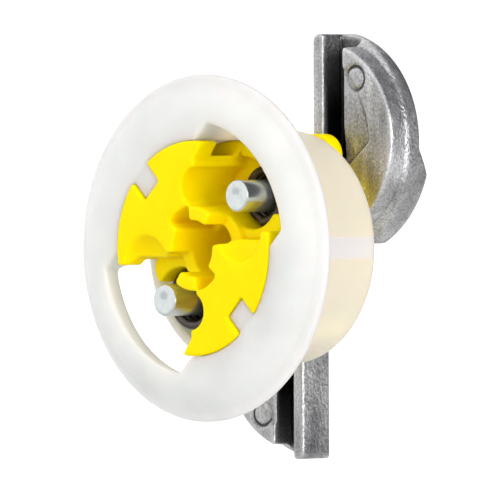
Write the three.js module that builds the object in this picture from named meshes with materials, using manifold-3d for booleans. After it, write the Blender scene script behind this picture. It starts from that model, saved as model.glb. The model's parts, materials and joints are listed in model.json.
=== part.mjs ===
// Swing-wing fixing for hollow walls: a flanged collar for a 15 mm hole, a sliding core inside it,
// and two sprung wings that swing out behind the board on steel pins.
//
// Millimetres. The wall's face is the plane y = 0, +Y points into the wall, +X right and +Z up for
// somebody looking at the wall. The axis of the hole is the Y axis. The wings are drawn swung open.

import * as THREE from 'three';
import { mergeVertices } from 'three/addons/utils/BufferGeometryUtils.js';
import Module from 'manifold-3d';

const wasm = await Module();
wasm.setup();

// ---- Driving dimensions -------------------------------------------------------------------------

const HOLE_RADIUS = 7.5;
const ROUND_SEGMENTS = 64;
const SMALL_SEGMENTS = 20;
const CUT_MARGIN = 1;

const FLANGE = { outerRadius: 11.05, faceRadius: 8.4, coneRadius: 8.35, frontY: -1.5, rimThickness: 0.5 };
const SLEEVE = { outerRadius: HOLE_RADIUS, innerRadius: 7.0, rearY: 7.6, coneEndY: 2.0 };
const WINDOW = { angle: 225, halfWidth: 4.75, frontRadius: 8.0, rearRadius: 8.3 };
const KEY = { angle: 135, width: 1.7, innerRadius: 5.25, frontY: -1.35, rearY: 7.0, clearance: 0.15 };

const CORE = { radius: 6.85, frontY: -1.5, plateRearY: 0.1, grooveRadius: 5.9, grooveRearY: 2.3 };
const OPEN_SECTOR = { floorY: 3.3, endAngle: 82, tabEdgeZ: 0.5 };
const RIM_WALL = { startAngle: 52, endAngle: 84 };
const TAB_BULGE = { leftX: 1.5, endX: 4.6, z: 1.35, radius: 1.05, frontY: 0.7 };
const HUB = { outerRadius: 2.7, boreRadius: 1.8 };
const HUB_STEP = { startAngle: 11, endAngle: 54, depth: 1.8 };
const HUB_RECESS = { startAngle: 97, endAngle: 141, depth: 3.0 };
const SLOT = { x: 0.2, z: 4.0, radius: 1.18 };
const SCOOP = { x: -4.2, z: -1.1, radius: 1.9, depth: 1.0 };
const SIDE_SLOT = { width: 1.3, floorRadius: 6.2, frontY: 3.5 };
const BODY_REAR_Y = 7.45;
const TAIL = { radius: 6.0, frontY: 7.4, rearY: 8.8 };
const LUG = { leftX: 0.3, cornerX: 2.1, cornerZ: 5.87, cornerRadius: 1.4, frontY: 7.75 };

const PIN = { x: 3.27, z: 3.32, radius: 1.02, frontY: -0.74, edge: 0.12, dimple: 0.35 };
const PIN_SHOULDER = { radius: 1.25, frontY: 4.5, rearY: 4.95 };
const PIN_HEAD = { radius: 1.55, frontY: 12.75, rearY: 13.2 };
const PIN_BORE_RADIUS = 1.12;
const SPRING_POCKET = { radius: 2.1, floorY: 5.05 };
const SPRING = { coilRadius: 1.65, wireRadius: 0.29, frontY: 1.35 };
const COIL = { turns: 4.75, pitch: 0.62, startAngle: 270 };

const WING = { frontY: 9.0, tipRearY: 11.55, rootRearY: 12.6, swingAngle: 95 };
const REAR_RAMP = { topZ: 6.3, bottomZ: 4.6 };
const WING_TIP = { x: 0.6, z: 6.8, radius: 7.07, endAngle: -10.8 };
const WING_ROOT = { bottomZ: 0.2, cornerRadius: 1.7 };
const WING_FIT_RADIUS = 7.45;
const WING_DRAFT = { x: 1.3, z: 6.9, frontRadius: 6.2, flareY: 10.3, flareRadius: 6.28, flareSlope: 0.68 };
const CHORD_X = 0.5;
const RIB = { width: 0.9, topZ: 13.7, cornerRadius: 0.6 };
const CHANNEL = { rightX: 3.1, bottomZ: 5.6, floorY: 10.8 };
const LAND_STEP = { x: -1.0, z: 6.6, radius: 6.45, depth: 0.2, creaseAngle: 39, creaseOffset: 1.81 };

const radians = THREE.MathUtils.degToRad;

// ---- Solids -------------------------------------------------------------------------------------

// Turns a closed three.js geometry into a solid: its seams are merged and it is made to face outwards.
function toSolid(geometry) {
  const plain = geometry.clone();
  plain.deleteAttribute('normal');
  plain.deleteAttribute('uv');
  const merged = mergeVertices(plain, 1e-4);
  const vertProperties = new Float32Array(merged.attributes.position.array);
  const triVerts = withoutSlivers(merged.index.array);
  if (signedVolume(vertProperties, triVerts) < 0) {
    triVerts.reverse();
  }
  return solidOf(vertProperties, triVerts);
}

function solidOf(vertProperties, triVerts) {
  return new wasm.Manifold(new wasm.Mesh({ numProp: 3, vertProperties, triVerts }));
}

function withoutSlivers(indices) {
  const kept = [];
  for (let i = 0; i < indices.length; i += 3) {
    const [a, b, c] = [indices[i], indices[i + 1], indices[i + 2]];
    if (a !== b && b !== c && c !== a) {
      kept.push(a, b, c);
    }
  }
  return new Uint32Array(kept);
}

function signedVolume(positions, triangles) {
  const corner = (i) => new THREE.Vector3().fromArray(positions, 3 * i);
  let volume = 0;
  for (let i = 0; i < triangles.length; i += 3) {
    const [a, b, c] = [corner(triangles[i]), corner(triangles[i + 1]), corner(triangles[i + 2])];
    volume += a.dot(b.cross(c)) / 6;
  }
  return volume;
}

function toGeometry(solid) {
  const mesh = solid.getMesh();
  const geometry = new THREE.BufferGeometry();
  geometry.setAttribute('position', new THREE.BufferAttribute(mesh.vertProperties, 3));
  geometry.setIndex(new THREE.BufferAttribute(mesh.triVerts, 1));
  return geometry;
}

// A flat outline, drawn as (x, z), given depth along Y from frontY to rearY.
function slab(shape, frontY, rearY, curveSegments = SMALL_SEGMENTS) {
  const depth = rearY - frontY;
  const geometry = new THREE.ExtrudeGeometry(shape, { depth, bevelEnabled: false, curveSegments });
  geometry.rotateX(Math.PI / 2);
  geometry.translate(0, rearY, 0);
  return toSolid(geometry);
}

function disc(radius, frontY, rearY, x = 0, z = 0, segments = ROUND_SEGMENTS) {
  const geometry = new THREE.CylinderGeometry(radius, radius, rearY - frontY, segments);
  geometry.translate(x, (frontY + rearY) / 2, z);
  return toSolid(geometry);
}

function block(x0, x1, frontY, rearY, z0, z1) {
  const geometry = new THREE.BoxGeometry(x1 - x0, rearY - frontY, z1 - z0);
  geometry.translate((x0 + x1) / 2, (frontY + rearY) / 2, (z0 + z1) / 2);
  return toSolid(geometry);
}

// A profile of [radius, y] points turned round the Y axis.
function turned(profile, segments = ROUND_SEGMENTS) {
  const points = profile.map(([radius, y]) => new THREE.Vector2(radius, y));
  return toSolid(new THREE.LatheGeometry(points, segments));
}

function ringSector(innerRadius, outerRadius, startAngle, endAngle, frontY, rearY) {
  const shape = new THREE.Shape();
  shape.absarc(0, 0, outerRadius, radians(startAngle), radians(endAngle), false);
  shape.absarc(0, 0, innerRadius, radians(endAngle), radians(startAngle), true);
  shape.closePath();
  return slab(shape, frontY, rearY);
}

// Turns a solid about the Y axis, anticlockwise for somebody looking at the wall.
function spun(solid, angle) {
  const turnedGeometry = toGeometry(solid).rotateY(radians(-angle));
  return solidOf(turnedGeometry.attributes.position.array, turnedGeometry.index.array);
}

// The fixing looks the same after half a turn, so its features come in pairs.
function withOpposite(solid) {
  return solid.add(spun(solid, 180));
}

function polar(radius, angle) {
  return [radius * Math.cos(radians(angle)), radius * Math.sin(radians(angle))];
}

function meshOf(name, solid, colour, roughness, metalness) {
  const material = new THREE.MeshStandardMaterial({ color: colour, roughness, metalness });
  const mesh = new THREE.Mesh(toGeometry(solid), material);
  mesh.name = name;
  return mesh;
}

// ---- Collar: flange, cone and sleeve in one moulding --------------------------------------------

function collarBody() {
  const { outerRadius, faceRadius, coneRadius, frontY, rimThickness } = FLANGE;
  return turned([
    [SLEEVE.innerRadius, SLEEVE.rearY],
    [SLEEVE.innerRadius, frontY + 0.12],
    [SLEEVE.innerRadius + 0.12, frontY],
    [faceRadius, frontY],
    [faceRadius + 0.35, frontY + 0.1],
    [outerRadius - 1.25, -rimThickness - 0.62],
    [outerRadius - 0.35, -rimThickness - 0.25],
    [outerRadius, -rimThickness],
    [outerRadius, -0.15],
    [outerRadius - 0.2, 0],
    [coneRadius, 0],
    [SLEEVE.outerRadius, SLEEVE.coneEndY],
    [SLEEVE.outerRadius, SLEEVE.rearY - 0.15],
    [SLEEVE.outerRadius - 0.15, SLEEVE.rearY],
    [SLEEVE.innerRadius, SLEEVE.rearY],
  ]);
}

// A straight channel across one side of the mouth, open through the cone as far as the sleeve.
function collarWindow() {
  const { angle, halfWidth, frontRadius, rearRadius } = WINDOW;
  const openFrontY = FLANGE.frontY - CUT_MARGIN;
  const channel = block(0, 2 * HOLE_RADIUS, openFrontY, SLEEVE.coneEndY, -halfWidth, halfWidth);
  const mouth = turned([
    [0, openFrontY],
    [frontRadius, openFrontY],
    [frontRadius, FLANGE.frontY],
    [rearRadius, 0],
    [FLANGE.coneRadius + 0.2, 0.01],
    [FLANGE.coneRadius + 0.2, SLEEVE.coneEndY + CUT_MARGIN],
    [0, SLEEVE.coneEndY + CUT_MARGIN],
  ]);
  return spun(channel.intersect(mouth), angle);
}

function guideKey() {
  const halfWidth = KEY.width / 2;
  const rootRadius = SLEEVE.innerRadius + 0.25;
  return spun(block(KEY.innerRadius, rootRadius, KEY.frontY, KEY.rearY, -halfWidth, halfWidth), KEY.angle);
}

function collarSolid() {
  return collarBody().subtract(withOpposite(collarWindow())).add(withOpposite(guideKey()));
}

// ---- Core: the yellow moulding that slides in the collar ----------------------------------------

// The open quarter of the face round the upper pin: the tab's edge, the hub's side, the round end
// of the spring slot and the cheek that runs out to the rim.
function openQuarterShape() {
  const farOut = 2 * HOLE_RADIUS;
  const [rimX, rimZ] = polar(CORE.radius, OPEN_SECTOR.endAngle);
  const cheekX = SLOT.x - 0.1;
  const cheekZ = SLOT.z + 1.65;
  const cheekSlope = (rimX - cheekX) / (rimZ - cheekZ);
  const shape = new THREE.Shape();
  shape.moveTo(farOut, -SCOOP.z);
  shape.lineTo(SCOOP.radius - SCOOP.x, -SCOOP.z);
  shape.lineTo(1.3 - SCOOP.x, OPEN_SECTOR.tabEdgeZ);
  shape.lineTo(0, OPEN_SECTOR.tabEdgeZ);
  shape.lineTo(...polar(HUB.outerRadius - 0.1, HUB_RECESS.startAngle));
  shape.absarc(SLOT.x, SLOT.z, SLOT.radius, radians(244), radians(78), true);
  shape.lineTo(cheekX, cheekZ);
  shape.lineTo(cheekX + cheekSlope * (farOut - cheekZ), farOut);
  shape.lineTo(farOut, farOut);
  shape.closePath();
  return shape;
}

// The wall under the tab's edge stands out into the open quarter, with a round end.
function tabBulge() {
  const { leftX, endX, z, radius, frontY } = TAB_BULGE;
  const shape = new THREE.Shape();
  shape.moveTo(leftX, z - radius - CUT_MARGIN);
  shape.lineTo(endX + radius, z - radius - CUT_MARGIN);
  shape.absarc(endX, z, radius, 0, Math.PI / 2, false);
  shape.lineTo(leftX, z + radius);
  shape.closePath();
  return slab(shape, frontY, OPEN_SECTOR.floorY + CUT_MARGIN);
}

// The space cut out of that quarter, round the hub and in front of the wall left along the rim.
function openQuarter() {
  const space = slab(openQuarterShape(), CORE.frontY - CUT_MARGIN, OPEN_SECTOR.floorY, 32);
  const rimWall = ringSector(
    CORE.grooveRadius,
    HOLE_RADIUS + CUT_MARGIN,
    RIM_WALL.startAngle,
    RIM_WALL.endAngle,
    CORE.grooveRearY,
    OPEN_SECTOR.floorY + CUT_MARGIN
  );
  const hub = disc(HUB.outerRadius, CORE.frontY - 2 * CUT_MARGIN, BODY_REAR_Y);
  return space.subtract(rimWall).subtract(tabBulge()).subtract(hub);
}

// Lowers part of the hub's end. The cut reaches past the hub only into space that is open already.
function hubCut({ startAngle, endAngle, depth }, outerRadius) {
  const innerRadius = HUB.boreRadius - 0.5;
  const openY = CORE.frontY - CUT_MARGIN;
  return ringSector(innerRadius, outerRadius, startAngle, endAngle, openY, CORE.frontY + depth);
}

// The tail carries the wings. Its lugs reach out past the sleeve's end and stop against it.
function tailSolid() {
  const lug = new THREE.Shape();
  lug.moveTo(LUG.leftX, 0);
  lug.lineTo(LUG.cornerX + LUG.cornerRadius, 0);
  lug.absarc(LUG.cornerX, LUG.cornerZ, LUG.cornerRadius, 0, Math.PI / 2, false);
  lug.lineTo(LUG.leftX, LUG.cornerZ + LUG.cornerRadius);
  lug.closePath();
  return disc(TAIL.radius, TAIL.frontY, TAIL.rearY).add(withOpposite(slab(lug, LUG.frontY, TAIL.rearY)));
}

// The round pocket for a spring, open to the outside, and the bore for its pin.
function pinPocket() {
  const pocket = disc(SPRING_POCKET.radius, CORE.frontY - CUT_MARGIN, SPRING_POCKET.floorY, PIN.x, PIN.z, 40);
  const mouth = block(
    4.6,
    HOLE_RADIUS + CUT_MARGIN,
    CORE.frontY - CUT_MARGIN,
    SPRING_POCKET.floorY,
    -SPRING_POCKET.radius + 0.05,
    SPRING_POCKET.radius - 0.05
  );
  const boreFrontY = SPRING_POCKET.floorY - 0.5;
  const bore = disc(PIN_BORE_RADIUS, boreFrontY, TAIL.rearY + CUT_MARGIN, PIN.x, PIN.z, SMALL_SEGMENTS);
  return pocket.add(spun(mouth, 45.4)).add(bore);
}

function keyGroove() {
  const halfWidth = KEY.width / 2 + KEY.clearance;
  const groove = block(
    KEY.innerRadius - KEY.clearance,
    HOLE_RADIUS + CUT_MARGIN,
    CORE.frontY - CUT_MARGIN,
    TAIL.rearY + CUT_MARGIN,
    -halfWidth,
    halfWidth
  );
  return spun(groove, KEY.angle);
}

function coreSolid() {
  const groove = turned([
    [CORE.grooveRadius, CORE.plateRearY],
    [HOLE_RADIUS, CORE.plateRearY],
    [HOLE_RADIUS, CORE.grooveRearY],
    [CORE.grooveRadius, CORE.grooveRearY],
    [CORE.grooveRadius, CORE.plateRearY],
  ]);
  const scoop = disc(SCOOP.radius, CORE.frontY - CUT_MARGIN, CORE.frontY + SCOOP.depth, SCOOP.x, SCOOP.z, 40);
  const halfSlot = SIDE_SLOT.width / 2;
  const slotRearY = TAIL.frontY + CUT_MARGIN;
  const slotFloor = SIDE_SLOT.floorRadius;
  const sideSlot = block(slotFloor, HOLE_RADIUS, SIDE_SLOT.frontY, slotRearY, -halfSlot, halfSlot);
  const screwBore = disc(HUB.boreRadius, CORE.frontY - CUT_MARGIN, TAIL.rearY + CUT_MARGIN, 0, 0, 32);
  return disc(CORE.radius, CORE.frontY, BODY_REAR_Y)
    .subtract(groove)
    .add(tailSolid())
    .subtract(withOpposite(openQuarter()))
    .subtract(withOpposite(hubCut(HUB_STEP, HUB.outerRadius + 0.3)))
    .subtract(withOpposite(hubCut(HUB_RECESS, HUB.outerRadius)))
    .subtract(withOpposite(scoop))
    .subtract(withOpposite(sideSlot))
    .subtract(withOpposite(pinPocket()))
    .subtract(withOpposite(keyGroove()))
    .subtract(screwBore);
}

// ---- Pins and springs ---------------------------------------------------------------------------

function pinSolid() {
  const shank = PIN.radius;
  return turned(
    [
      [0, PIN.frontY + 0.1],
      [PIN.dimple, PIN.frontY],
      [shank - PIN.edge, PIN.frontY],
      [shank, PIN.frontY + PIN.edge],
      [shank, PIN_SHOULDER.frontY],
      [PIN_SHOULDER.radius, PIN_SHOULDER.frontY],
      [PIN_SHOULDER.radius, PIN_SHOULDER.rearY],
      [shank, PIN_SHOULDER.rearY],
      [shank, PIN_HEAD.frontY],
      [PIN_HEAD.radius, PIN_HEAD.frontY],
      [PIN_HEAD.radius - 0.25, PIN_HEAD.rearY],
      [0, PIN_HEAD.rearY],
    ],
    SMALL_SEGMENTS
  );
}

class CoilCurve extends THREE.Curve {
  getPoint(t, target = new THREE.Vector3()) {
    const angle = radians(COIL.startAngle) + 2 * Math.PI * COIL.turns * t;
    const y = SPRING.frontY + SPRING.wireRadius + COIL.turns * COIL.pitch * t;
    return target.set(SPRING.coilRadius * Math.cos(angle), y, SPRING.coilRadius * Math.sin(angle));
  }
}

function springSolid() {
  const wire = new THREE.Shape();
  wire.absarc(0, 0, SPRING.wireRadius, 0, 2 * Math.PI, false);
  const steps = Math.round(COIL.turns * 16);
  const geometry = new THREE.ExtrudeGeometry(wire, { extrudePath: new CoilCurve(), steps, curveSegments: 6 });
  return toSolid(geometry);
}

// ---- Wings --------------------------------------------------------------------------------------

// The centre of the hole as the wing sees it once it is swung open about its pin.
function foldedAxis() {
  const turn = radians(-WING.swingAngle);
  const x = PIN.x - (PIN.x * Math.cos(turn) - PIN.z * Math.sin(turn));
  const z = PIN.z - (PIN.x * Math.sin(turn) + PIN.z * Math.cos(turn));
  return [x, z];
}

// Flat outline of a wing at its rear: the straight chord, the corner of the root, the arc that fills
// the hole when the wing is folded, and the tip arc up to the flat top.
function wingShape() {
  const [axisX, axisZ] = foldedAxis();
  const { bottomZ, cornerRadius } = WING_ROOT;
  const tipEnd = radians(WING_TIP.endAngle);
  const tipTop = Math.asin((RIB.topZ - WING_TIP.z) / WING_TIP.radius);
  const joinX = WING_TIP.x + WING_TIP.radius * Math.cos(tipEnd);
  const joinZ = WING_TIP.z + WING_TIP.radius * Math.sin(tipEnd);
  const fitEnd = Math.atan2(joinZ - axisZ, joinX - axisX);
  const fitStart = Math.asin((bottomZ - axisZ) / WING_FIT_RADIUS);
  const shape = new THREE.Shape();
  shape.moveTo(CHORD_X, RIB.topZ - RIB.cornerRadius);
  shape.lineTo(CHORD_X, bottomZ + cornerRadius);
  shape.absarc(CHORD_X + cornerRadius, bottomZ + cornerRadius, cornerRadius, Math.PI, 1.5 * Math.PI, false);
  shape.absarc(axisX, axisZ, WING_FIT_RADIUS, fitStart, fitEnd, false);
  shape.absarc(WING_TIP.x, WING_TIP.z, WING_TIP.radius, tipEnd, tipTop, false);
  addRibTop(shape);
  shape.closePath();
  return shape;
}

function addRibTop(shape) {
  const { topZ, cornerRadius } = RIB;
  shape.lineTo(CHORD_X + cornerRadius, topZ);
  shape.absarc(CHORD_X + cornerRadius, topZ - cornerRadius, cornerRadius, Math.PI / 2, Math.PI, false);
}

function ribShape() {
  const shape = new THREE.Shape();
  shape.moveTo(CHORD_X, CHANNEL.bottomZ);
  shape.lineTo(CHORD_X + RIB.width, CHANNEL.bottomZ);
  shape.lineTo(CHORD_X + RIB.width, RIB.topZ);
  addRibTop(shape);
  shape.closePath();
  return shape;
}

// The casting's sides go nearly straight back from its front face and then flare out.
function wingDraft() {
  const { x, z, frontRadius, flareY, flareRadius, flareSlope } = WING_DRAFT;
  const frontY = WING.frontY - CUT_MARGIN;
  const rearY = WING.rootRearY + CUT_MARGIN;
  const profile = [
    [0, frontY],
    [frontRadius, frontY],
    [frontRadius, WING.frontY],
    [flareRadius, flareY],
    [flareRadius + flareSlope * (rearY - flareY), rearY],
    [0, rearY],
  ];
  const geometry = toGeometry(turned(profile)).translate(x, 0, z);
  return solidOf(geometry.attributes.position.array, geometry.index.array);
}

// The space behind the tip, which is thinner than the root, with a ramp between the two.
function tipRelief() {
  const shape = new THREE.Shape();
  const openY = WING.rootRearY + CUT_MARGIN;
  shape.moveTo(WING.tipRearY, RIB.topZ + CUT_MARGIN);
  shape.lineTo(WING.tipRearY, REAR_RAMP.topZ);
  shape.lineTo(WING.rootRearY, REAR_RAMP.bottomZ);
  shape.lineTo(openY, REAR_RAMP.bottomZ);
  shape.lineTo(openY, RIB.topZ + CUT_MARGIN);
  shape.closePath();
  const geometry = new THREE.ExtrudeGeometry(shape, { depth: 2 * HOLE_RADIUS, bevelEnabled: false });
  geometry.rotateX(Math.PI / 2);
  geometry.rotateZ(Math.PI / 2);
  return toSolid(geometry);
}

// A shallow step in the land beside the channel. An arc bounds it outside and a straight crease below.
function landStep() {
  const { x, z, radius, depth, creaseAngle, creaseOffset } = LAND_STEP;
  const openY = WING.frontY - CUT_MARGIN;
  const floorY = WING.frontY + depth;
  const reach = 2 * HOLE_RADIUS;
  const beside = block(CHANNEL.rightX, reach, openY, floorY, 0, RIB.topZ);
  const aboveCrease = block(-reach, reach, openY - CUT_MARGIN, floorY + CUT_MARGIN, creaseOffset, reach);
  const withinArc = disc(radius, openY - CUT_MARGIN, WING.tipRearY, x, z);
  return withinArc.intersect(beside).intersect(spun(aboveCrease, creaseAngle));
}

function wingSolid() {
  const openY = WING.frontY - CUT_MARGIN;
  const channel = block(
    CHORD_X + RIB.width,
    CHANNEL.rightX,
    openY,
    CHANNEL.floorY,
    CHANNEL.bottomZ,
    RIB.topZ + CUT_MARGIN
  );
  const bore = disc(PIN.radius + 0.06, openY, WING.rootRearY + CUT_MARGIN, PIN.x, PIN.z, SMALL_SEGMENTS);
  return slab(wingShape(), WING.frontY, WING.rootRearY)
    .intersect(wingDraft())
    .add(slab(ribShape(), WING.frontY, WING.tipRearY))
    .subtract(channel)
    .subtract(landStep())
    .subtract(tipRelief())
    .subtract(bore);
}

// ---- Assembly -----------------------------------------------------------------------------------

const fixing = new THREE.Group();
fixing.add(meshOf('collar', collarSolid(), 0xeeeeea, 0.45, 0));
fixing.add(meshOf('core', coreSolid(), 0xffe000, 0.5, 0));

for (const [side, angle] of [['upper', 0], ['lower', 180]]) {
  const half = new THREE.Group();
  const pin = meshOf(`pin_${side}`, pinSolid(), 0xd0d2d0, 0.3, 1);
  const spring = meshOf(`spring_${side}`, springSolid(), 0x2c2826, 0.35, 0.9);
  pin.position.set(PIN.x, 0, PIN.z);
  spring.position.set(PIN.x, 0, PIN.z);
  half.add(meshOf(`wing_${side}`, wingSolid(), 0x9a9c9c, 0.5, 0.9), pin, spring);
  half.rotation.y = radians(angle);
  fixing.add(half);
}

export default fixing;
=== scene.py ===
import json
import math

import bpy
import numpy as np
from mathutils import Matrix, Vector


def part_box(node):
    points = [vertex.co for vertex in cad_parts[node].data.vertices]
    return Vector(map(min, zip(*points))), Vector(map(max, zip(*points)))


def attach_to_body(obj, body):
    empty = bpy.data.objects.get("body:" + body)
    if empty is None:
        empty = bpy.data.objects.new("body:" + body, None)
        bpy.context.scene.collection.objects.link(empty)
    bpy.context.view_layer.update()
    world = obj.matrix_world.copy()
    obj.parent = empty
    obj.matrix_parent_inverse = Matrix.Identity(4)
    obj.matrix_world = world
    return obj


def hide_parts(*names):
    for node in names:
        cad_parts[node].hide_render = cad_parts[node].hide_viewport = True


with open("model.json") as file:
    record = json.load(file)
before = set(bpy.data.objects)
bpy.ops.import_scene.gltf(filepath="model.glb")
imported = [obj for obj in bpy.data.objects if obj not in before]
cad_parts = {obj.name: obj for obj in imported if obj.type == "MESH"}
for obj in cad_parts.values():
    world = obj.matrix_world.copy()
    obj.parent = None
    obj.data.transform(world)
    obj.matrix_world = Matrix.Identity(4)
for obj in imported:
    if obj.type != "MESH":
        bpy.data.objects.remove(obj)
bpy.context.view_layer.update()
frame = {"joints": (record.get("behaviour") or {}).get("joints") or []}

MM = 0.001
ROOT2 = math.sqrt(2)


# ---- Sizes read from the frame ----------------------------------------------------------------------

def box_mm(node):
    low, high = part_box(node)
    return np.array(low) / MM, np.array(high) / MM


def hinge_centre():
    joint = [j for j in frame["joints"] if j["name"] == "wing_upper_hinge"][0]
    return joint["pos_m"][0] / MM, joint["pos_m"][2] / MM


COLLAR_LOW, COLLAR_HIGH = box_mm("collar")
CORE_LOW, CORE_HIGH = box_mm("core")
PIN_LOW, PIN_HIGH = box_mm("pin_upper")
SPRING_LOW, SPRING_HIGH = box_mm("spring_upper")
WING_LOW, WING_HIGH = box_mm("wing_upper")
PIN_X, PIN_Z = hinge_centre()

FRONT = COLLAR_LOW[1]
HOLE_RADIUS = 7.5

# Collar: crown, rim, cone, sleeve, windows and keys
FLANGE_RADIUS = COLLAR_HIGH[0]
CROWN_RADIUS, CROWN_DEPTH, CROWN_END = 8.4, 1.55, -48
RIM_FRONT, RIM_CHAMFER_RADIUS, RIM_CHAMFER_DEPTH = -0.5, 0.2, 0.12
CONE_RADIUS, CONE_END = 8.35, 2.0
SLEEVE_REAR, SLEEVE_CHAMFER = COLLAR_HIGH[1], 0.12
CORE_RADIUS, CORE_CLEARANCE = CORE_HIGH[0], 0.015
WINDOW_HALF_WIDTH, WINDOW_OVERCUT = 4.75, 0.2
MOUTH_RADIUS, MOUTH_TAPER = 8.3, 0.2
KEY_INNER, KEY_OUTER, KEY_HALF_WIDTH = 5.25, HOLE_RADIUS - 0.3, 0.85
KEY_FRONT, KEY_REAR = FRONT + 0.15, 7.0

# Core: body, groove behind the face, hub, slots and tail
BODY_REAR = 7.45
PLATE_REAR, GROOVE_RADIUS, GROOVE_REAR = 0.1, 5.9, 2.3
HUB_RADIUS, BORE_RADIUS = 2.7, 1.78
HUB_STEP_DEPTH, HUB_STEP_MARGIN, HUB_RECESS_DEPTH = 1.8, 0.1, 3.6
SLOT_HALF_WIDTH, SLOT_INNER, SLOT_FRONT = 0.65, 6.2, 3.5
KEY_GROOVE_DEPTH_PLAY, KEY_GROOVE_SIDE_PLAY = 0.05, 0.04
TAIL_RADIUS, TAIL_FRONT, TAIL_REAR = 6.0, 7.4, CORE_HIGH[1]
LUG_FRONT, LUG_LEFT, LUG_X, LUG_Z, LUG_CORNER = 7.75, 0.3, 2.1, 5.87, 1.4

# Core: the open quarter round the upper pin, as [x, z] points either side of a round notch
FAR = 15
OPEN_HUB_SIDE = [(FAR, 1.1), (6.1, 1.1), (5.5, 0.55), (3.25, 0.6)]
OPEN_HUB_SIDE += [(2.7, 0.5), (2.0, 0.1), (1.2, 0.1), (-0.3, 2.5)]
OPEN_RIM_SIDE = [(0.1, 5.65), (1.05, 6.95), (2.2, FAR), (FAR, FAR)]
NOTCH_X, NOTCH_Z, NOTCH_RADIUS = 0.2, 4.0, 1.18
OPEN_FLOOR = 3.3
BULGE_X, BULGE_END_X, BULGE_RADIUS, BULGE_Z, BULGE_FRONT = 1.5, 4.6, 1.05, 1.35, 0.7
POCKET_RADIUS, POCKET_FLOOR, POCKET_MOUTH, POCKET_MOUTH_PLAY = 2.1, 5.05, 4.6, 0.05
PIN_BORE = 1.12
SCOOP_X, SCOOP_Z, SCOOP_RADIUS, SCOOP_LIFT, SCOOP_FLATNESS = 4.2, 1.1, 1.95, 0.1, 3.2

# Pins and springs
PIN_RADIUS, PIN_NOSE = 1.02, 0.16
SHOULDER_RADIUS, SHOULDER_FRONT, SHOULDER_REAR = 1.25, 4.5, 4.95
HEAD_RADIUS, HEAD_FRONT = PIN_HIGH[0] - PIN_X, 12.75
WIRE_RADIUS, SPRING_TURNS, SPRING_START = 0.29, 4.75, 270
COIL_RADIUS = SPRING_HIGH[0] - PIN_X - WIRE_RADIUS

# Wings: outline, drafted flank, rib, channel, land and the ramp behind the tip
WING_FRONT, WING_REAR, TIP_REAR = WING_LOW[1], WING_HIGH[1], 11.55
WING_TOP, WING_BOTTOM = WING_HIGH[2], WING_LOW[2]
CHORD_X, RIB_X, RIB_CHAMFER = WING_LOW[0], WING_LOW[0] + 0.9, 0.3
TIP_X, TIP_Z, TIP_RADIUS, TIP_START = 0.6, 6.8, 7.07, -10.8
FIT_X, FIT_Z, FIT_RADIUS, FIT_START, FIT_END = 0.248, 6.867, HOLE_RADIUS - 0.05, -63.5, -11
ROOT_CORNER = 1.7
FLANK_X, FLANK_Z, FLANK_RADIUS, FLANK_DRAFT = 1.3, 6.9, 6.2, 0.06
FLARE_DEPTH, FLARE_SLOPE = 1.3, 0.62
CHANNEL_X, CHANNEL_Z, CHANNEL_FLOOR = 3.1, 5.6, 10.8
STEP_X, STEP_Z, STEP_RADIUS, STEP_DEPTH = -1.0, 6.6, 6.45, 0.16
CREASE_ANGLE, CREASE_OFFSET, CREASE_DIP, CREASE_REACH = math.radians(39), 1.81, 0.3, 2.2
RING_X, RING_Z, RING_RADIUS, RING_HALF_WIDTH, RING_DEPTH = 4.25, 10.8, 0.78, 0.1, 0.14
RAMP_Z, RAMP_NORMAL_Y, RAMP_NORMAL_Z = 6.3, 0.85, 0.525
WING_BORE = PIN_RADIUS + 0.05

# Sample spacing for each piece's field, and how often it is smoothed
COLLAR_STEP, COLLAR_PASSES = 0.12, 1
CORE_STEP, CORE_PASSES = 0.09, 2
WING_STEP, WING_PASSES = 0.08, 3
GRID_MARGIN = 7
EDGE_PASSES = 6


# ---- Fields: negative inside, in millimetres --------------------------------------------------------

class Grid:
    """Sample points on a box with a margin all round, placed evenly about the box's middle."""

    def __init__(self, low, high, step):
        self.step = step
        self.axes = []
        for start, end in zip(low, high):
            count = int(math.ceil((end - start) / step)) + GRID_MARGIN
            middle = (start + end) / 2
            self.axes.append(middle + step * (np.arange(count) - (count - 1) / 2))
        self.x = self.axes[0][:, None, None]
        self.y = self.axes[1][None, :, None]
        self.z = self.axes[2][None, None, :]
        self.shape = tuple(len(axis) for axis in self.axes)

    def full(self, field):
        return np.ascontiguousarray(np.broadcast_to(field, self.shape), np.float32)


def both(*fields):
    result = fields[0]
    for field in fields[1:]:
        result = np.maximum(result, field)
    return result


def either(*fields):
    result = fields[0]
    for field in fields[1:]:
        result = np.minimum(result, field)
    return result


def span(value, low, high):
    return np.maximum(low - value, value - high)


def opposite(field):
    """The same feature after half a turn about the Y axis."""
    return field[::-1, :, ::-1]


def cylinder(grid, x, z, radius):
    return np.hypot(grid.x - x, grid.z - z) - radius


def polygon(points, across, along):
    """Signed distance to a closed outline of (across, along) points."""
    nearest = np.float32(1e6)
    inside = False
    for (ax, ay), (bx, by) in zip(points, points[1:] + points[:1]):
        ex, ey = bx - ax, by - ay
        px, py = across - ax, along - ay
        t = np.clip((px * ex + py * ey) / (ex * ex + ey * ey), 0, 1)
        nearest = np.minimum(nearest, np.hypot(px - t * ex, py - t * ey))
        if ey != 0:
            crosses = (ay <= along) != (by <= along)
            inside = inside ^ (crosses & (across < ax + (along - ay) * ex / ey))
    return np.where(inside, -nearest, nearest)


def arc(x, z, radius, start, end, count=16):
    angles = np.radians(np.linspace(start, end, count))
    return [(x + radius * math.cos(a), z + radius * math.sin(a)) for a in angles]


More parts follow.
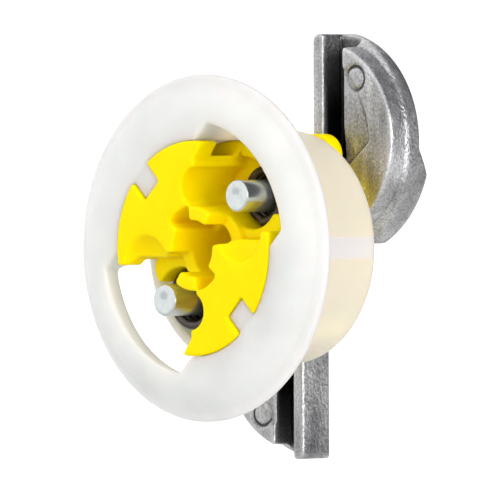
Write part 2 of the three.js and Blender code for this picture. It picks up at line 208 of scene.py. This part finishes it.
def sector(grid, start, end):
    """The wedge between two directions, in degrees anticlockwise from +X, less than half a turn wide."""
    a, b = math.radians(start), math.radians(end)
    after_start = grid.x * math.sin(a) - grid.z * math.cos(a)
    before_end = grid.z * math.cos(b) - grid.x * math.sin(b)
    return np.maximum(after_start, before_end)


def shifted(field, axis, step):
    """The field moved one sample along an axis, with its end layer repeated."""
    last = field.shape[axis] - 1
    return field.take(np.clip(np.arange(last + 1) + step, 0, last), axis)


def softened(field, passes):
    """Rounds the edges as a mould or casting does."""
    for _ in range(passes):
        for axis in range(3):
            neighbours = shifted(field, axis, 1) + shifted(field, axis, -1)
            field = 0.5 * field + 0.25 * neighbours
    return field


# ---- Meshes -----------------------------------------------------------------------------------------

def mesh_object(name, points_mm, faces, material):
    mesh = bpy.data.meshes.new(name)
    mesh.from_pydata((np.asarray(points_mm) * MM).tolist(), [], faces)
    mesh.shade_smooth()
    mesh.materials.append(material)
    piece = bpy.data.objects.new(name, mesh)
    bpy.context.scene.collection.objects.link(piece)
    return piece


def add_attribute(piece, name, values):
    attribute = piece.data.attributes.new(name, "FLOAT", "POINT")
    attribute.data.foreach_set("value", values.astype(np.float32))


def skin(name, field, grid, material):
    """A closed mesh of quads on the zero level of a field, one vertex in each cell that it crosses.

    Its "edge" attribute is above 0 on outer edges and below 0 in hollows.
    """
    inside = field < 0
    cells = tuple(count - 1 for count in grid.shape)
    total = int(np.prod(cells))
    sums = np.zeros((3, total))
    hits = np.zeros(total)
    quads = []
    for a in range(3):
        b, c = (a + 1) % 3, (a + 2) % 3
        low = tuple(slice(0, -1) if k == a else slice(None) for k in range(3))
        high = tuple(slice(1, None) if k == a else slice(None) for k in range(3))
        crossing = inside[low] != inside[high]
        index = np.argwhere(crossing)
        start, end = field[low][crossing], field[high][crossing]
        point = index.astype(float)
        point[:, a] += start / (start - end)
        corners = []
        for db, dc in ((0, 0), (-1, 0), (-1, -1), (0, -1)):
            cell = index.copy()
            cell[:, b] += db
            cell[:, c] += dc
            flat = np.ravel_multi_index(cell.T, cells)
            corners.append(flat)
            hits += np.bincount(flat, minlength=total)
            for k in range(3):
                sums[k] += np.bincount(flat, point[:, k], total)
        quad = np.stack(corners, 1)
        outward = inside[low][crossing]
        quad[~outward] = quad[~outward][:, ::-1]
        quads.append(quad)
    used = np.flatnonzero(hits)
    number = np.zeros(total, int)
    number[used] = np.arange(len(used))
    place = (sums[:, used] / hits[used]).T
    origin = np.array([axis[0] for axis in grid.axes])
    faces = number[np.concatenate(quads)].tolist()
    piece = mesh_object(name, origin + grid.step * place, faces, material)
    nearest = tuple(np.rint(place).astype(int).T)
    edge = (softened(field, EDGE_PASSES) - field)[nearest] / grid.step
    add_attribute(piece, "edge", edge)
    return piece


def lathe(name, profile, centre_x, centre_z, material, segments=64):
    """A solid of revolution about a line along Y, from [radius, y] points that start and end on it."""
    rings = profile[1:-1]
    points = [(centre_x, profile[0][1], centre_z)]
    for radius, y in rings:
        for x, z in arc(centre_x, centre_z, radius, 0, 360, segments + 1)[:-1]:
            points.append((x, y, z))
    points.append((centre_x, profile[-1][1], centre_z))
    last = len(points) - 1
    faces = []
    for k in range(segments):
        n = (k + 1) % segments
        faces.append((0, 1 + k, 1 + n))
        for ring in range(len(rings) - 1):
            near, far = 1 + ring * segments, 1 + (ring + 1) * segments
            faces.append((near + k, far + k, far + n, near + n))
        end = 1 + (len(rings) - 1) * segments
        faces.append((end + k, last, end + n))
    piece = mesh_object(name, points, faces, material)
    piece.data.set_sharp_from_angle(angle=math.radians(50))
    return piece


# ---- Collar -----------------------------------------------------------------------------------------

def collar_field(grid):
    radius = np.hypot(grid.x, grid.z)
    u = np.abs(grid.x + grid.z) / ROOT2
    v = np.abs(grid.x - grid.z) / ROOT2
    bore = CORE_RADIUS + CORE_CLEARANCE
    crown = arc(CROWN_RADIUS, CROWN_DEPTH, CROWN_DEPTH - FRONT, -90, CROWN_END, 12)
    profile = [(bore, SLEEVE_REAR), (bore, FRONT)] + crown
    profile += [(FLANGE_RADIUS, RIM_FRONT), (FLANGE_RADIUS, -RIM_CHAMFER_DEPTH)]
    profile += [(FLANGE_RADIUS - RIM_CHAMFER_RADIUS, 0), (CONE_RADIUS, 0), (HOLE_RADIUS, CONE_END)]
    profile += [(HOLE_RADIUS, SLEEVE_REAR - SLEEVE_CHAMFER), (HOLE_RADIUS - SLEEVE_CHAMFER, SLEEVE_REAR)]
    body = polygon(profile, radius, grid.y)
    mouth = MOUTH_RADIUS + MOUTH_TAPER * grid.y
    window_radius = np.where(grid.y < 0, mouth, CONE_RADIUS + WINDOW_OVERCUT)
    window = both(v - WINDOW_HALF_WIDTH, grid.y - CONE_END, radius - window_radius)
    key = both(span(v, KEY_INNER, KEY_OUTER), u - KEY_HALF_WIDTH, span(grid.y, KEY_FRONT, KEY_REAR))
    return grid.full(either(both(body, -window), key))


# ---- Core -------------------------------------------------------------------------------------------

def open_quarter(grid):
    """The quarter of the face that is open round the upper pin, down to its floor."""
    radius = np.hypot(grid.x, grid.z)
    notch = arc(NOTCH_X, NOTCH_Z, NOTCH_RADIUS, 244, 90, 14)
    space = polygon(OPEN_HUB_SIDE + notch + OPEN_RIM_SIDE, grid.x, grid.z)
    rim = both(GROOVE_RADIUS - radius, sector(grid, 52, 84), GROOVE_REAR - grid.y)
    bulge = [(BULGE_X, 0)] + arc(BULGE_END_X, BULGE_Z, BULGE_RADIUS, -90, 90, 12)
    bulge += [(BULGE_X, BULGE_Z + BULGE_RADIUS)]
    under_face = both(polygon(bulge, grid.x, grid.z), BULGE_FRONT - grid.y)
    return both(space, grid.y - OPEN_FLOOR, -rim, -under_face, HUB_RADIUS - radius)


def hub_cuts(grid):
    """The step down beside the open quarter and the deep recess beyond the high part of the ring."""
    radius = np.hypot(grid.x, grid.z)
    depth = grid.y - FRONT
    step = both(radius - HUB_RADIUS - HUB_STEP_MARGIN, sector(grid, 7, 54), depth - HUB_STEP_DEPTH)
    recess = both(radius - HUB_RADIUS, sector(grid, 98, 140), depth - HUB_RECESS_DEPTH)
    return either(step, recess)


def pin_pocket(grid):
    """The round pocket for the spring, open to the side, and the bore for the pin."""
    u = (grid.x + grid.z) / ROOT2
    v = (grid.x - grid.z) / ROOT2
    round_part = cylinder(grid, PIN_X, PIN_Z, POCKET_RADIUS)
    mouth = both(POCKET_MOUTH - u, np.abs(v) - POCKET_RADIUS + POCKET_MOUTH_PLAY)
    pocket = both(either(round_part, mouth), grid.y - POCKET_FLOOR)
    return either(pocket, cylinder(grid, PIN_X, PIN_Z, PIN_BORE))


def face_scoop(grid):
    """A shallow round dish that fades into the face."""
    across = (grid.x + SCOOP_X) ** 2 + (grid.z + SCOOP_Z) ** 2
    return np.sqrt(across + SCOOP_FLATNESS * (grid.y - FRONT + SCOOP_LIFT) ** 2) - SCOOP_RADIUS


def tail_field(grid):
    """The disc behind the sleeve, with a stop lug above and another below."""
    disc = both(np.hypot(grid.x, grid.z) - TAIL_RADIUS, span(grid.y, TAIL_FRONT, TAIL_REAR))
    outline = [(LUG_LEFT, 0), (LUG_X + LUG_CORNER, 0)] + arc(LUG_X, LUG_Z, LUG_CORNER, 0, 90, 10)
    outline += [(LUG_LEFT, LUG_Z + LUG_CORNER)]
    lug = both(polygon(outline, grid.x, grid.z), span(grid.y, LUG_FRONT, TAIL_REAR))
    return either(disc, lug, opposite(lug))


def core_field(grid):
    radius = np.hypot(grid.x, grid.z)
    u = np.abs(grid.x + grid.z) / ROOT2
    v = np.abs(grid.x - grid.z) / ROOT2
    body = both(radius - CORE_RADIUS, span(grid.y, FRONT, BODY_REAR))
    groove = both(GROOVE_RADIUS - radius, span(grid.y, PLATE_REAR, GROOVE_REAR))
    solid = either(both(body, -groove), tail_field(grid))
    slot_depth = span(grid.y, SLOT_FRONT, TAIL_FRONT + 1)
    side_slot = both(np.abs(grid.z) - SLOT_HALF_WIDTH, SLOT_INNER - np.abs(grid.x), slot_depth)
    key_groove = both(KEY_INNER - KEY_GROOVE_DEPTH_PLAY - v, u - KEY_HALF_WIDTH - KEY_GROOVE_SIDE_PLAY)
    solid = both(solid, BORE_RADIUS - radius, -side_slot, -key_groove)
    for cut in (open_quarter(grid), hub_cuts(grid), pin_pocket(grid), face_scoop(grid)):
        solid = both(solid, -cut, -opposite(cut))
    return grid.full(solid)


# ---- Wings ------------------------------------------------------------------------------------------

def wing_outline():
    top_angle = math.degrees(math.asin((WING_TOP - TIP_Z) / TIP_RADIUS))
    tip = arc(TIP_X, TIP_Z, TIP_RADIUS, TIP_START, top_angle, 40)
    fit = arc(FIT_X, FIT_Z, FIT_RADIUS, FIT_START, FIT_END, 24)
    root = arc(CHORD_X + ROOT_CORNER, WING_BOTTOM + ROOT_CORNER, ROOT_CORNER, 180, 270, 12)
    return [(CHORD_X, WING_TOP)] + root + fit + tip


def land_cuts(grid, depth):
    """The shallow step in the land, between an arc and a straight crease, and a plain ring above it."""
    above_crease = grid.z * math.cos(CREASE_ANGLE) - grid.x * math.sin(CREASE_ANGLE) - CREASE_OFFSET
    floor = STEP_DEPTH + CREASE_DIP * np.clip(1 - above_crease / CREASE_REACH, 0, 1)
    within_arc = cylinder(grid, STEP_X, STEP_Z, STEP_RADIUS)
    step = both(within_arc, CHANNEL_X - grid.x, -above_crease, depth - floor)
    ring = np.abs(cylinder(grid, RING_X, RING_Z, RING_RADIUS)) - RING_HALF_WIDTH
    return either(step, both(ring, depth - STEP_DEPTH - RING_DEPTH))


def wing_field(grid):
    depth = grid.y - WING_FRONT
    flare = FLANK_DRAFT * depth + FLARE_SLOPE * np.maximum(depth - FLARE_DEPTH, 0)
    flank = np.hypot(grid.x - FLANK_X, grid.z - FLANK_Z) - FLANK_RADIUS - flare
    casting = both(polygon(wing_outline(), grid.x, grid.z), flank)
    rib = both(span(grid.x, CHORD_X, RIB_X), span(grid.z, CHANNEL_Z, WING_TOP), grid.y - TIP_REAR)
    rib = both(rib, (grid.z - grid.x - WING_TOP + CHORD_X + RIB_CHAMFER) / ROOT2)
    channel = both(span(grid.x, RIB_X, CHANNEL_X), grid.y - CHANNEL_FLOOR, CHANNEL_Z - grid.z)
    ramp = (grid.y - TIP_REAR) * RAMP_NORMAL_Y + (grid.z - RAMP_Z) * RAMP_NORMAL_Z
    behind_tip = both(TIP_REAR - grid.y, -ramp)
    bore = cylinder(grid, PIN_X, PIN_Z, WING_BORE)
    solid = both(either(casting, rib), span(grid.y, WING_FRONT, WING_REAR))
    return grid.full(both(solid, -channel, -land_cuts(grid, depth), -behind_tip, -bore))


def mark_channel_shade(wing):
    """Tells the finish where to paint shade in the channel: 1 deep down in it, fading towards its open top
    end.
    """
    flat = np.empty(3 * len(wing.data.vertices))
    wing.data.vertices.foreach_get("co", flat)
    x, y, z = flat.reshape(-1, 3).T / MM
    side_margin, end_margin, shallow = 0.04, 0.1, 0.05
    fade_depth, fade_top, fade_length = 0.5, WING_TOP + 5.0, 10.0
    within_sides = (x > RIB_X - side_margin) & (x < CHANNEL_X + side_margin)
    within = within_sides & (z > CHANNEL_Z - end_margin) & (y < CHANNEL_FLOOR + end_margin)
    deep = np.clip((y - WING_FRONT - shallow) / fade_depth, 0, 1)
    shade_lower_down = np.clip((fade_top - z) / fade_length, 0, 1)
    add_attribute(wing, "channel", within * deep * shade_lower_down)


# ---- Pins and springs -------------------------------------------------------------------------------

def pin_profile():
    """[radius, y] points from the dimple in the front end, along the pin, to the rear head."""
    front, rear = PIN_LOW[1], PIN_HIGH[1]
    dimple = [(0, front + 0.09), (0.2, front + 0.07), (0.34, front)]
    corner = arc(0, 0, PIN_NOSE, 0, 90, 6)
    nose = [(PIN_RADIUS - PIN_NOSE + across, front + PIN_NOSE - along) for along, across in corner]
    shoulder = [(PIN_RADIUS, SHOULDER_FRONT), (SHOULDER_RADIUS, SHOULDER_FRONT)]
    shoulder += [(SHOULDER_RADIUS, SHOULDER_REAR), (PIN_RADIUS, SHOULDER_REAR)]
    head = [(PIN_RADIUS, HEAD_FRONT), (HEAD_RADIUS, HEAD_FRONT), (HEAD_RADIUS, HEAD_FRONT + 0.15)]
    head += [(HEAD_RADIUS - 0.1, rear - 0.12), (HEAD_RADIUS - 0.3, rear), (0, rear)]
    return dimple + nose + shoulder + head


def spring(name, half_turn, material, around=12, per_turn=48):
    """A close coil of round wire about the pin, with flat open ends."""
    steps = int(SPRING_TURNS * per_turn)
    pitch = (SPRING_HIGH[1] - SPRING_LOW[1] - 2 * WIRE_RADIUS) / SPRING_TURNS
    points = []
    for turn in np.linspace(0, SPRING_TURNS, steps + 1):
        angle = math.radians(SPRING_START) + 2 * math.pi * turn
        for k in range(around):
            section = 2 * math.pi * k / around
            radius = COIL_RADIUS + WIRE_RADIUS * math.cos(section)
            y = SPRING_LOW[1] + WIRE_RADIUS + pitch * turn + WIRE_RADIUS * math.sin(section)
            points.append((PIN_X + radius * math.cos(angle), y, PIN_Z + radius * math.sin(angle)))
    faces = []
    for ring in range(steps):
        near, far = ring * around, (ring + 1) * around
        for k in range(around):
            n = (k + 1) % around
            faces.append((near + k, near + n, far + n, far + k))
    return mesh_object(name, np.array(points) * half_turn, faces, material)


# ---- Materials --------------------------------------------------------------------------------------

BLACK, WHITE = (0, 0, 0), (1, 1, 1)
FLANGE_DEEP, FLANGE_PALE = (0.69, 0.69, 0.675), (0.76, 0.76, 0.745)
# Sleeve: painted glow of the yellow core showing through, and a paler painted band over the core's side
# slots.
SLEEVE_PAINTED_CORE_GLOW, SLEEVE_PAINTED_SLOT_BAND = (1.0, 0.83, 0.58), (0.84, 0.85, 0.8)
# Yellow tones, then the painted orange shade for the core's hollows.
YELLOW_DEEP, YELLOW_PALE, YELLOW_PAINTED_SHADE = (1.0, 0.73, 0.0), (1.0, 0.79, 0.0), (0.8, 0.4, 0.0)
CAST_DARK, CAST_PALE = (0.34, 0.34, 0.35), (0.73, 0.73, 0.74)
GRAIN_DARK, STREAK_DARK = (0.5, 0.5, 0.5), (0.68, 0.68, 0.68)
# A paler grey for outer edges, then painted shade for the hollows and painted shade for the channel.
CAST_EDGE_PALE, CAST_PAINTED_SHADE, CHANNEL_PAINTED_SHADE = (0.72, 0.73, 0.74), (0.02, 0.02, 0.022), (0.008, 0.008, 0.01)
PLATING_DEEP, PLATING_PALE = (0.58, 0.62, 0.63), (0.66, 0.69, 0.69)
WIRE_DARK, WIRE_PALE = (0.035, 0.028, 0.026), (0.14, 0.12, 0.11)
FLOOR_GREY = (0.85, 0.85, 0.85, 1)
BAND_HALF_HEIGHT = 0.002
BAND_STOPS = [(0.3, BLACK), (0.36, WHITE), (0.64, WHITE), (0.7, BLACK)]


class Finish:
    """A Principled material with short names for the nodes that the finishes share."""

    def __init__(self, name, roughness, metallic=0.0):
        self.material = bpy.data.materials.new(name)
        self.material.use_nodes = True
        self.tree = self.material.node_tree
        self.shader = self.tree.nodes["Principled BSDF"]
        self.shader.inputs["Roughness"].default_value = roughness
        self.shader.inputs["Metallic"].default_value = metallic
        self.place = self.tree.nodes.new("ShaderNodeTexCoord").outputs["Object"]

    def link(self, output, target):
        self.tree.links.new(output, target)

    def noise(self, scale, detail=4.0, stretch=(1, 1, 1)):
        mapping = self.tree.nodes.new("ShaderNodeMapping")
        mapping.inputs["Scale"].default_value = stretch
        self.link(self.place, mapping.inputs["Vector"])
        node = self.tree.nodes.new("ShaderNodeTexNoise")
        node.inputs["Scale"].default_value = scale
        node.inputs["Detail"].default_value = detail
        self.link(mapping.outputs["Vector"], node.inputs["Vector"])
        return node.outputs["Fac"]

    def ramp(self, source, stops):
        node = self.tree.nodes.new("ShaderNodeValToRGB")
        elements = node.color_ramp.elements
        while len(elements) < len(stops):
            elements.new(0.5)
        for element, (position, colour) in zip(elements, stops):
            element.position = position
            element.color = (*colour, 1)
        self.link(source, node.inputs["Fac"])
        return node.outputs["Color"]

    def mix(self, factor, first, second, blend="MIX"):
        node = self.tree.nodes.new("ShaderNodeMix")
        node.data_type = "RGBA"
        node.blend_type = blend
        sockets = {"factor": node.inputs[0], "first": node.inputs[6], "second": node.inputs[7]}
        for key, value in (("factor", factor), ("first", first), ("second", second)):
            if isinstance(value, bpy.types.NodeSocket):
                self.link(value, sockets[key])
            elif isinstance(value, tuple):
                sockets[key].default_value = (*value, 1)
            else:
                sockets[key].default_value = value
        return node.outputs[2]

    def level(self, source, low, high, to_low, to_high):
        node = self.tree.nodes.new("ShaderNodeMapRange")
        limits = {"From Min": low, "From Max": high, "To Min": to_low, "To Max": to_high}
        for name, value in limits.items():
            node.inputs[name].default_value = value
        self.link(source, node.inputs["Value"])
        return node.outputs["Result"]

    def attribute(self, name):
        node = self.tree.nodes.new("ShaderNodeAttribute")
        node.attribute_name = name
        return node.outputs["Fac"]

    def bump(self, height, distance, strength=1.0):
        node = self.tree.nodes.new("ShaderNodeBump")
        node.inputs["Distance"].default_value = distance
        node.inputs["Strength"].default_value = strength
        self.link(height, node.inputs["Height"])
        self.link(node.outputs["Normal"], self.shader.inputs["Normal"])

    def subsurface(self, weight, radius, scale):
        self.shader.inputs["Subsurface Weight"].default_value = weight
        self.shader.inputs["Subsurface Radius"].default_value = radius
        self.shader.inputs["Subsurface Scale"].default_value = scale


def collar_finish():
    """Milky natural nylon, cool on the flange. Down the sleeve a painted warm tint stands in for the
    yellow core's light showing through, with a paler painted band along each side where the core's side
    slots let less of it through.
    """
    finish = Finish("collar_plastic", 0.4)
    split = finish.tree.nodes.new("ShaderNodeSeparateXYZ")
    finish.link(finish.place, split.inputs["Vector"])
    # Painted glow: behind the flange the sleeve takes the warm tint of the core's light showing through
    # it.
    painted_core_glow = finish.level(split.outputs["Y"], 0.0, 0.0025, 0.0, 1.0)
    flange = finish.ramp(finish.noise(260, 3), [(0.3, FLANGE_DEEP), (0.7, FLANGE_PALE)])
    # Painted band: less of that glow along each side, over the core's side slots.
    height = finish.level(split.outputs["Z"], -BAND_HALF_HEIGHT, BAND_HALF_HEIGHT, 0.0, 1.0)
    sleeve = finish.mix(finish.ramp(height, BAND_STOPS), SLEEVE_PAINTED_CORE_GLOW, SLEEVE_PAINTED_SLOT_BAND)
    finish.link(finish.mix(painted_core_glow, flange, sleeve), finish.shader.inputs["Base Color"])
    finish.subsurface(1.0, (0.75, 0.95, 0.95), 0.0025)
    finish.shader.inputs["Specular IOR Level"].default_value = 0.3
    finish.bump(finish.noise(1500, 2), 0.00001, 0.5)
    return finish.material


def core_finish():
    """Bright yellow nylon with a faint cloudiness, and painted orange shade in its hollows."""
    finish = Finish("core_plastic", 0.42)
    cloud = finish.ramp(finish.noise(300, 3), [(0.3, YELLOW_DEEP), (0.7, YELLOW_PALE)])
    # Painted shade: the hollows are mixed towards deep orange.
    painted_hollow_shade = finish.level(finish.attribute("edge"), -0.15, -0.6, 0.0, 0.35)
    finish.link(finish.mix(painted_hollow_shade, cloud, YELLOW_PAINTED_SHADE), finish.shader.inputs["Base Color"])
    finish.subsurface(0.3, (1.0, 0.6, 0.02), 0.0008)
    finish.shader.inputs["Specular IOR Level"].default_value = 0.05
    finish.bump(finish.noise(1300, 2), 0.000012, 0.5)
    return finish.material


def cast_finish():
    """As-cast zinc alloy: pale grey grain with dark flow marks and paler outer edges, and painted shade
    darkening the hollows and the channel.
    """
    finish = Finish("cast_metal", 0.42, 0.8)
    flow = finish.ramp(finish.noise(330, 5, (1, 1, 0.5)), [(0.34, CAST_DARK), (0.62, CAST_PALE)])
    grain = finish.ramp(finish.noise(9000, 3, (1, 1, 0.6)), [(0.36, GRAIN_DARK), (0.6, WHITE)])
    streak = finish.ramp(finish.noise(1300, 4, (1, 0.7, 0.16)), [(0.4, STREAK_DARK), (0.62, WHITE)])
    colour = finish.mix(0.85, finish.mix(0.8, flow, grain, "MULTIPLY"), streak, "MULTIPLY")
    # Outer edges are mixed towards a paler grey.
    pale_edges = finish.level(finish.attribute("edge"), 0.2, 0.7, 0.0, 0.6)
    # Painted shade: the hollows are mixed towards near-black.
    painted_hollow_shade = finish.level(finish.attribute("edge"), -0.08, -0.4, 0.0, 0.85)
    colour = finish.mix(pale_edges, colour, CAST_EDGE_PALE)
    colour = finish.mix(painted_hollow_shade, colour, CAST_PAINTED_SHADE)
    # Painted shade: the channel is mixed towards near-black, most deep down and low in it.
    colour = finish.mix(finish.attribute("channel"), colour, CHANNEL_PAINTED_SHADE)
    finish.link(colour, finish.shader.inputs["Base Color"])
    finish.link(finish.level(finish.noise(900, 4), 0.3, 0.7, 0.32, 0.5), finish.shader.inputs["Roughness"])
    finish.bump(finish.noise(4200, 4), 0.00006, 1.0)
    return finish.material


def pin_finish():
    """Bright zinc plating with fine drawing marks along the pin."""
    finish = Finish("plated_steel", 0.22, 0.9)
    marks = finish.noise(3500, 3, (1, 0.15, 1))
    colour = finish.ramp(marks, [(0.3, PLATING_DEEP), (0.7, PLATING_PALE)])
    finish.link(colour, finish.shader.inputs["Base Color"])
    finish.bump(marks, 0.000006, 0.5)
    return finish.material


def spring_finish():
    """Oiled dark spring wire, a little brown."""
    finish = Finish("spring_steel", 0.28, 0.8)
    colour = finish.ramp(finish.noise(900, 4), [(0.35, WIRE_DARK), (0.7, WIRE_PALE)])
    finish.link(colour, finish.shader.inputs["Base Color"])
    finish.bump(finish.noise(3000, 3), 0.00001, 0.6)
    return finish.material


# ---- Pieces on the frame ----------------------------------------------------------------------------

def attach(piece, node, body):
    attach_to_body(piece, body)
    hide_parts(node)


def add_mouldings():
    grid = Grid(COLLAR_LOW, COLLAR_HIGH, COLLAR_STEP)
    field = softened(collar_field(grid), COLLAR_PASSES)
    attach(skin("collar_moulding", field, grid, collar_finish()), "collar", "collar_body")
    grid = Grid(CORE_LOW, CORE_HIGH, CORE_STEP)
    field = softened(core_field(grid), CORE_PASSES)
    attach(skin("core_moulding", field, grid, core_finish()), "core", "core_body")


def add_halves():
    """Wing, pin and spring on each side; the lower ones are the upper ones after half a turn."""
    cast, plated, dark = cast_finish(), pin_finish(), spring_finish()
    grid = Grid(WING_LOW, WING_HIGH, WING_STEP)
    field = softened(wing_field(grid), WING_PASSES)
    for side, turn in (("upper", 1), ("lower", -1)):
        half_turn = Matrix.Diagonal((turn, 1, turn, 1))
        wing = skin(f"wing_casting_{side}", field, grid, cast)
        mark_channel_shade(wing)
        wing.data.transform(half_turn)
        pin = lathe(f"pin_turned_{side}", pin_profile(), PIN_X, PIN_Z, plated)
        pin.data.transform(half_turn)
        coil = spring(f"spring_coil_{side}", np.array([turn, 1, turn]), dark)
        attach(wing, f"wing_{side}", f"wing_{side}_body")
        attach(pin, f"pin_{side}", f"wing_{side}_body")
        attach(coil, f"spring_{side}", "core_body")


# ---- Stage ------------------------------------------------------------------------------------------

FLOOR_Z, FLOOR_RADIUS = -45, 300
LIGHT_SIZE = 0.4
KEY_PLACE, KEY_POWER = (0.7, -0.08, 0.06), 3.6
TOP_PLACE, TOP_POWER = (-0.1, -0.2, 0.6), 0.15
WORLD_STRENGTH = 1.2
DARK_PANEL = (0.55, 0.8, 0.25)
PANEL_FROM, PANEL_TO = 0.25, 0.6
PANEL_GREY = (0.05, 0.05, 0.06, 1)
CAMERA_TURN, CAMERA_RISE, CAMERA_ROLL = math.radians(45.04), math.radians(0.43), math.radians(0.25)
CAMERA_DISTANCE, CAMERA_LENS, CAMERA_SENSOR = 0.5, 586.6, 36
AIM_DEPTH, AIM_LEFT, AIM_UP = 4 * MM, 0.801 * MM, 0.49 * MM


def add_floor():
    outline = [(x, y, FLOOR_Z) for x, y in arc(0, 0, FLOOR_RADIUS, 0, 360, 65)[:-1]]
    finish = Finish("floor_paper", 0.8)
    finish.shader.inputs["Base Color"].default_value = FLOOR_GREY
    mesh_object("floor", outline, [list(range(len(outline)))], finish.material)


def add_light(name, place, power):
    """A square area light that faces the part."""
    light = bpy.data.objects.new(name, bpy.data.lights.new(name, "AREA"))
    light.data.size = LIGHT_SIZE
    light.data.energy = power
    light.location = place
    light.rotation_euler = (-Vector(place)).to_track_quat("-Z", "Y").to_euler()
    bpy.context.scene.collection.objects.link(light)


def add_world():
    """White studio walls. The metal mirrors a large dark panel behind, on the right, out of view."""
    world = bpy.data.worlds.new("studio")
    bpy.context.scene.world = world
    world.use_nodes = True
    nodes, links = world.node_tree.nodes, world.node_tree.links
    towards = nodes.new("ShaderNodeVectorMath")
    towards.operation = "DOT_PRODUCT"
    towards.inputs[1].default_value = Vector(DARK_PANEL).normalized()
    links.new(nodes.new("ShaderNodeTexCoord").outputs["Generated"], towards.inputs[0])
    ramp = nodes.new("ShaderNodeValToRGB")
    wall, panel = ramp.color_ramp.elements
    wall.position, wall.color = PANEL_FROM, (*WHITE, 1)
    panel.position, panel.color = PANEL_TO, PANEL_GREY
    links.new(towards.outputs["Value"], ramp.inputs["Fac"])
    shown = nodes.new("ShaderNodeMix")
    shown.data_type = "RGBA"
    shown.inputs[7].default_value = (*WHITE, 1)
    links.new(nodes.new("ShaderNodeLightPath").outputs["Is Camera Ray"], shown.inputs[0])
    links.new(ramp.outputs["Color"], shown.inputs[6])
    links.new(shown.outputs[2], nodes["Background"].inputs["Color"])
    nodes["Background"].inputs["Strength"].default_value = WORLD_STRENGTH


def add_camera():
    """Near eye level, 45 degrees round to the right of the face, with a long lens."""
    flat = math.cos(CAMERA_RISE)
    back = Vector((math.sin(CAMERA_TURN) * flat, -math.cos(CAMERA_TURN) * flat, math.sin(CAMERA_RISE)))
    right = Vector((math.cos(CAMERA_TURN), math.sin(CAMERA_TURN), 0))
    up = back.cross(right)
    aim = Vector((0, AIM_DEPTH, 0)) - right * AIM_LEFT + up * AIM_UP
    across = right * math.cos(CAMERA_ROLL) - up * math.sin(CAMERA_ROLL)
    upward = up * math.cos(CAMERA_ROLL) + right * math.sin(CAMERA_ROLL)
    placed = Matrix((across, upward, back)).transposed().to_4x4()
    placed.translation = aim + back * CAMERA_DISTANCE
    camera = bpy.data.objects.new("camera", bpy.data.cameras.new("camera"))
    camera.matrix_world = placed
    camera.data.lens = CAMERA_LENS
    camera.data.sensor_width = CAMERA_SENSOR
    camera.data.clip_start = 0.01
    camera.data.clip_end = 10
    bpy.context.scene.collection.objects.link(camera)
    bpy.context.scene.camera = camera


add_mouldings()
add_halves()
add_floor()
add_light("key", KEY_PLACE, KEY_POWER)
add_light("top", TOP_PLACE, TOP_POWER)
add_world()
add_camera()
bpy.context.scene.view_settings.view_transform = "Standard"
